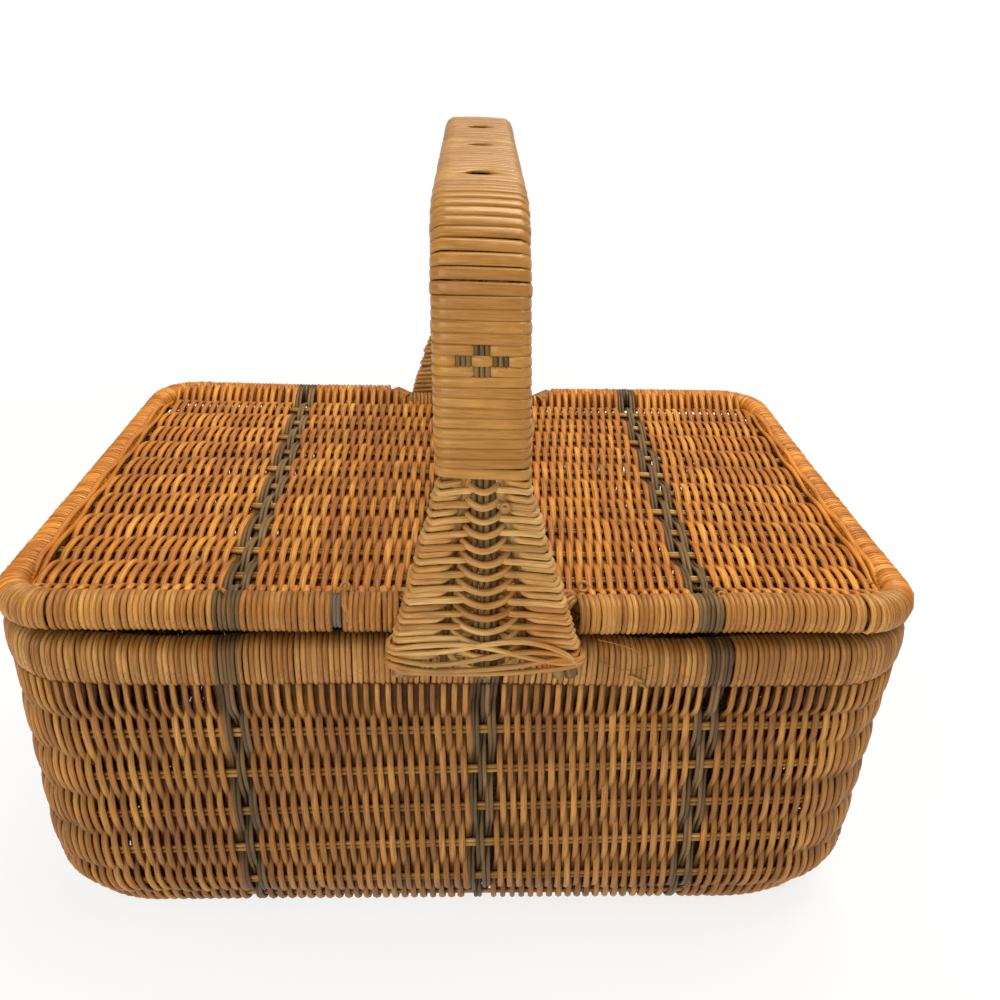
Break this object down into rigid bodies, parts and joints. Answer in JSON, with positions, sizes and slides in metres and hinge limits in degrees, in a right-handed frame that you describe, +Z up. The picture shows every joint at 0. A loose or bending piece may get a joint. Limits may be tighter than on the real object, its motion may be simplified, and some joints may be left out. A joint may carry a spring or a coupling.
{
  "type": "lidded wicker basket",
  "caption": "Oblong woven wicker basket with a bound rim, half lids hinged on a bar across the middle, and a cane-bound carrying handle on woven flared feet.",
  "frame": {"origin": "on the floor, straight below the middle of the closed lids", "axes": "+X along the length to the right as seen from the front, +Y to the back, +Z up"},
  "size_m": [0.442, 0.3226, 0.3838],
  "materials": {
    "smoked_cane": "smoked dark, satin",
    "polished_cane": "glossy honey skin of the cane",
    "pale_reed": "pale straw reed, semi matt",
    "bound_reed": "honey reed, varnished",
    "lid_reed": "warm orange tan reed, varnished",
    "tub_reed": "brown tan reed, varnished",
    "core_rattan": "peeled rattan, matt"
  },
  "bodies": {
    "tub": {"flare_back": "pale_reed", "flare_front": "pale_reed", "flare_lashing_back": "pale_reed", "flare_lashing_front": "pale_reed", "handle_binding": "polished_cane", "handle_cane_left": "core_rattan", "handle_cane_middle": "smoked_cane", "handle_cane_right": "core_rattan", "handle_dark_inlays": "smoked_cane", "hinge_bar": "core_rattan", "tub_dark_strands_left": "smoked_cane", "tub_dark_strands_middle": "smoked_cane", "tub_dark_strands_right": "smoked_cane", "tub_floor": "tub_reed", "tub_rim_binding": "bound_reed", "tub_rim_rod": "core_rattan", "tub_stake_hoops": "core_rattan", "tub_wall": "tub_reed"},
    "lid_left": {"lid_left_border_binding": "bound_reed", "lid_left_dark_strands": "smoked_cane", "lid_left_frame": "core_rattan", "lid_left_hinge_loops": "core_rattan", "lid_left_hinge_rod": "core_rattan", "lid_left_mat": "lid_reed", "lid_left_stakes": "core_rattan"},
    "lid_right": {"lid_right_border_binding": "bound_reed", "lid_right_dark_strands": "smoked_cane", "lid_right_frame": "core_rattan", "lid_right_hinge_loops": "core_rattan", "lid_right_hinge_rod": "core_rattan", "lid_right_mat": "lid_reed", "lid_right_stakes": "core_rattan"}
  },
  "joints": [
    {"name": "lid_left_hinge", "type": "hinge", "parent": "tub", "child": "lid_left", "pos_m": [0.005, 0, 0.2], "axis": [0, 1, 0], "range_deg": [0, 60]},
    {"name": "lid_right_hinge", "type": "hinge", "parent": "tub", "child": "lid_right", "pos_m": [0.005, 0, 0.2], "axis": [0, -1, 0], "range_deg": [0, 60]}
  ]
}
